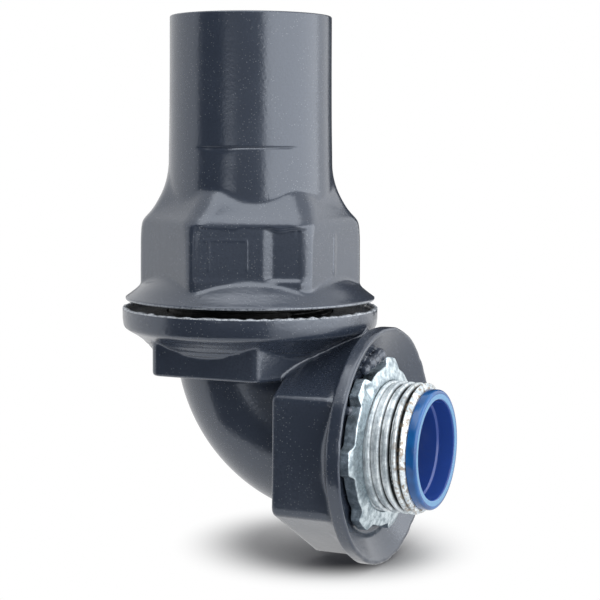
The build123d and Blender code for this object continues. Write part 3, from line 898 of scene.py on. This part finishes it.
def ferruleShape():
    # Ferrule's section turned about Z: floor, outer skirt, and the barrel that tapers at its top.
    sizes = ferruleSizes
    inside = sizes["skirt"] - sizes["wall"]
    outline = roundedLoop([
        (sizes["bore"], sizes["floor"], 0.2), (sizes["skirt"], sizes["floor"], 0.5),
        (sizes["skirt"], sizes["skirtTop"], 0.25), (inside, sizes["skirtTop"], 0.25),
        (inside, sizes["floorTop"], 0.4), (sizes["barrel"], sizes["floorTop"], 0.4),
        (sizes["barrel"], sizes["top"] - sizes["taperLong"], 1.0),
        (sizes["barrel"] - sizes["taper"], sizes["top"], 0.15), (sizes["bore"], sizes["top"], 0.15)], 0.5, 5)
    return turned(outline, sizes["columns"], aboutZ)


makePiece("ferrule", ferruleShape(), brightZinc, "elbow", ["grounding_ferrule"])

for nodeName, material in (("sealing_ring", ringPlastic), ("gland_nut", brightZinc)):
    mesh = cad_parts[nodeName].data
    mesh.materials.clear()
    mesh.materials.append(material)
print("pieces made")


# Floor, light and camera

stageSizes = {
    "floor": -24.3, "size": 8.0,
    "pool": (-0.0175, 0.0107, 0.0), "poolRadii": (0.0325, 0.038, 1.0), "poolTurn": 25.0,
    "poolEdge": (0.45, 1.05),
    # ambient occlusion's reach and range for the painted shadow, and its colour
    "shadeReach": 0.05, "shadeRange": (0.2, 1.0),
    "paintedShadow": (0.20, 0.20, 0.21, 1.0), "pale": (0.95, 0.95, 0.95, 1.0), "roughness": 0.9,
    "worldLevel": 0.5,
    "camera": (125.4, -303.42, 60.78), "azimuth": 25.56, "pitch": 5.46, "roll": 0.3,
    "focal": 1644.3, "frame": 600,  # pixels
    "sensor": 36.0, "clip": (0.01, 20),
}


def anyRay(tree, *names):
    # 1 where a ray of one of the named kinds looks.
    path = addNode(tree, "ShaderNodeLightPath").outputs
    seen = path[names[0]]
    for name in names[1:]:
        seen = mathNode(tree, "MAXIMUM", seen, path[name])
    return seen


def makeFloor():
    # Pale floor that keeps the object's shadow in an oval pool under it, where ambient occlusion also darkens
    # its colour as a painted shadow. Further out the camera and glass see plain white, and gloss sees it
    # everywhere. From below it is clear.
    sizes = stageSizes
    mesh = bpy.data.meshes.new("floor")
    half, height = sizes["size"] / 2, sizes["floor"] * 0.001
    corners = [(-half, -half, height), (half, -half, height), (half, half, height), (-half, half, height)]
    mesh.from_pydata(corners, [], [(0, 1, 2, 3)])
    material, tree, shader, place = startMaterial("paleFloor")
    # painted shadow: ambient occlusion darkens the floor's colour near the object
    near = addNode(tree, "ShaderNodeAmbientOcclusion", None, {"Distance": sizes["shadeReach"]}).outputs["AO"]
    pale = mixColours(tree, ramp(tree, near, *sizes["shadeRange"]), sizes["paintedShadow"], sizes["pale"])
    setInputs(tree, shader, {"Base Color": pale, "Roughness": sizes["roughness"], "Specular IOR Level": 0.0})
    white = addNode(tree, "ShaderNodeEmission", None, {"Color": plainWhite, "Strength": 1.0}).outputs[0]
    flat = vectorNode(tree, "MULTIPLY", place, (1.0, 1.0, 0.0))[0]
    scaled = addNode(tree, "ShaderNodeMapping", {"vector_type": "TEXTURE"},
                     {"Vector": flat, "Location": sizes["pool"], "Scale": sizes["poolRadii"],
                      "Rotation": (0.0, 0.0, math.radians(sizes["poolTurn"]))}).outputs[0]
    edgeFrom, edgeTo = sizes["poolEdge"]
    far = addNode(tree, "ShaderNodeMapRange", {"interpolation_type": "SMOOTHSTEP"},
                  {"Value": vectorNode(tree, "LENGTH", scaled)["Value"],
                   "From Min": edgeFrom, "From Max": edgeTo}).outputs["Result"]
    seen = mathNode(tree, "MULTIPLY", far, anyRay(tree, "Is Camera Ray", "Is Transmission Ray"))
    seen = mathNode(tree, "MAXIMUM", seen, anyRay(tree, "Is Glossy Ray"))
    above = mixShaders(tree, seen, shader.outputs[0], white)
    clear = addNode(tree, "ShaderNodeBsdfTransparent").outputs[0]
    under = addNode(tree, "ShaderNodeNewGeometry").outputs["Backfacing"]
    tree.links.new(mixShaders(tree, under, above, clear), tree.nodes["Material Output"].inputs["Surface"])
    mesh.materials.append(material)
    addObject("floor", mesh)


def makeWorld():
    # White where the camera, gloss and glass look, a plain level elsewhere.
    world = bpy.data.worlds.new("studio")
    bpy.context.scene.world = world
    world.use_nodes = True
    tree = world.node_tree
    plain = tree.nodes["Background"]
    setInputs(tree, plain, {"Color": plainWhite, "Strength": stageSizes["worldLevel"]})
    white = addNode(tree, "ShaderNodeBackground", None, {"Color": plainWhite, "Strength": 1.0}).outputs[0]
    seen = anyRay(tree, "Is Camera Ray", "Is Glossy Ray", "Is Transmission Ray")
    mixed = mixShaders(tree, seen, plain.outputs[0], white)
    tree.links.new(mixed, tree.nodes["World Output"].inputs["Surface"])


studioCards = [  # name, first and last azimuth, distance and height of one edge and of the other, radiance
    ("leftGlow", -138, -64, (460, -60), (460, 440), 1.0),
    ("darkCardLeft", -50, -10, (460, -24), (460, 420), 0.02),
    ("frontStrip", -8, 5, (460, 24), (460, 80), 1.5),
    ("darkCardHigh", -10, 6, (460, 80), (460, 420), 0.25),
    ("darkCardFront", 6, 44, (460, -24), (460, 420), 0.28),
    ("darkCardLow", -10, 6, (460, -24), (460, 24), 0.02),
    ("darkTable", -50, 44, (62, -23.9), (460, -23.9), 0.03),
    ("rightTable", 62, 130, (150, -23.8), (440, -23.8), 2.0),
    ("rightGlow", 135, 168, (460, -24), (460, 420), 1.5),
    ("backWall", 168, 222, (520, -24), (520, 500), 0.06),
]


def makeCards():
    # Curved cards about the gland's axis that only the gloss of the object sees, each of one radiance.
    steps = 24
    for name, first, last, low, high, radiance in studioCards:
        azimuth = np.radians(np.linspace(first, last, steps))[:, None]
        distance, height = np.array([[low[0], high[0]]]), np.array([[low[1], high[1]]])
        around = (distance * np.sin(azimuth), -distance * np.cos(azimuth), height)
        points = np.stack(np.broadcast_arrays(*around), axis=-1).reshape(-1, 3)
        row = 2 * np.arange(steps - 1)
        quads = np.stack([row, row + 2, row + 3, row + 1], axis=-1)
        mesh = bpy.data.meshes.new(name)
        mesh.from_pydata(points * 0.001 + crossing, [], quads)
        material = bpy.data.materials.new(name)
        material.use_nodes = True
        tree = material.node_tree
        glow = addNode(tree, "ShaderNodeEmission", None, {"Color": plainWhite, "Strength": radiance})
        tree.links.new(glow.outputs[0], tree.nodes["Material Output"].inputs["Surface"])
        mesh.materials.append(material)
        card = addObject(name, mesh)
        card.visible_camera = card.visible_diffuse = card.visible_shadow = False


softLights = [  # name, azimuth, height, distance, width and height of the lamp, aim, radiance, seen in gloss
    ("rightPanel", 91, 60, 440, 860, 620, 30, 2.2, True),
    ("leftPanel", -101, 60, 440, 640, 620, 30, 1.25, False),
    ("overhead", 20, 420, 120, 420, 360, 0, 2.0, True),
]


def makeLights():
    # Square lamps aimed at the gland's axis; a lamp's energy is pi * radiance * area.
    for name, azimuth, height, distance, width, tall, aimHeight, radiance, inGloss in softLights:
        light = bpy.data.lights.new(name, "AREA")
        light.shape = "RECTANGLE"
        light.size, light.size_y = width * 0.001, tall * 0.001
        light.energy = radiance * math.pi * light.size * light.size_y
        lamp = addObject(name, light)
        lamp.visible_glossy = inGloss
        turn = math.radians(azimuth)
        place = np.array([distance * math.sin(turn), -distance * math.cos(turn), height]) + crossing * 1000
        back = place - (crossing * 1000 + np.array([0, 0, aimHeight]))
        back /= np.linalg.norm(back)
        right = np.cross([0, 0, 1], back)
        right /= np.linalg.norm(right)
        lamp.matrix_world = poseMatrix(right, np.cross(back, right), back, place)


def poseMatrix(right, up, back, place):
    # Lamp or camera that looks against the back direction, from a place in millimetres.
    columns = [right, up, back, np.array(place) * 0.001]
    return Matrix([[column[row] for column in columns] for row in range(3)] + [[0, 0, 0, 1]])


def makeCamera():
    # Looks along the azimuth from +Y, pitched down and rolled, with the focal length in pixels.
    sizes = stageSizes
    azimuth, pitch, roll = (math.radians(sizes[key]) for key in ("azimuth", "pitch", "roll"))
    back = np.array([math.sin(azimuth) * math.cos(pitch), -math.cos(azimuth) * math.cos(pitch),
                     math.sin(pitch)])
    right = np.array([math.cos(azimuth), math.sin(azimuth), 0])
    up = np.cross(back, right)
    data = bpy.data.cameras.new("photoCamera")
    data.sensor_width = sizes["sensor"]
    data.lens = sizes["sensor"] * sizes["focal"] / sizes["frame"]
    data.clip_start, data.clip_end = sizes["clip"]
    camera = addObject("photoCamera", data)
    camera.matrix_world = poseMatrix(right * math.cos(roll) + up * math.sin(roll),
                                     up * math.cos(roll) - right * math.sin(roll), back, sizes["camera"])
    bpy.context.scene.camera = camera


makeFloor()
makeWorld()
makeCards()
makeLights()
makeCamera()
bpy.context.scene.view_settings.view_transform = "Standard"
bpy.context.view_layer.update()
print("scene ready")
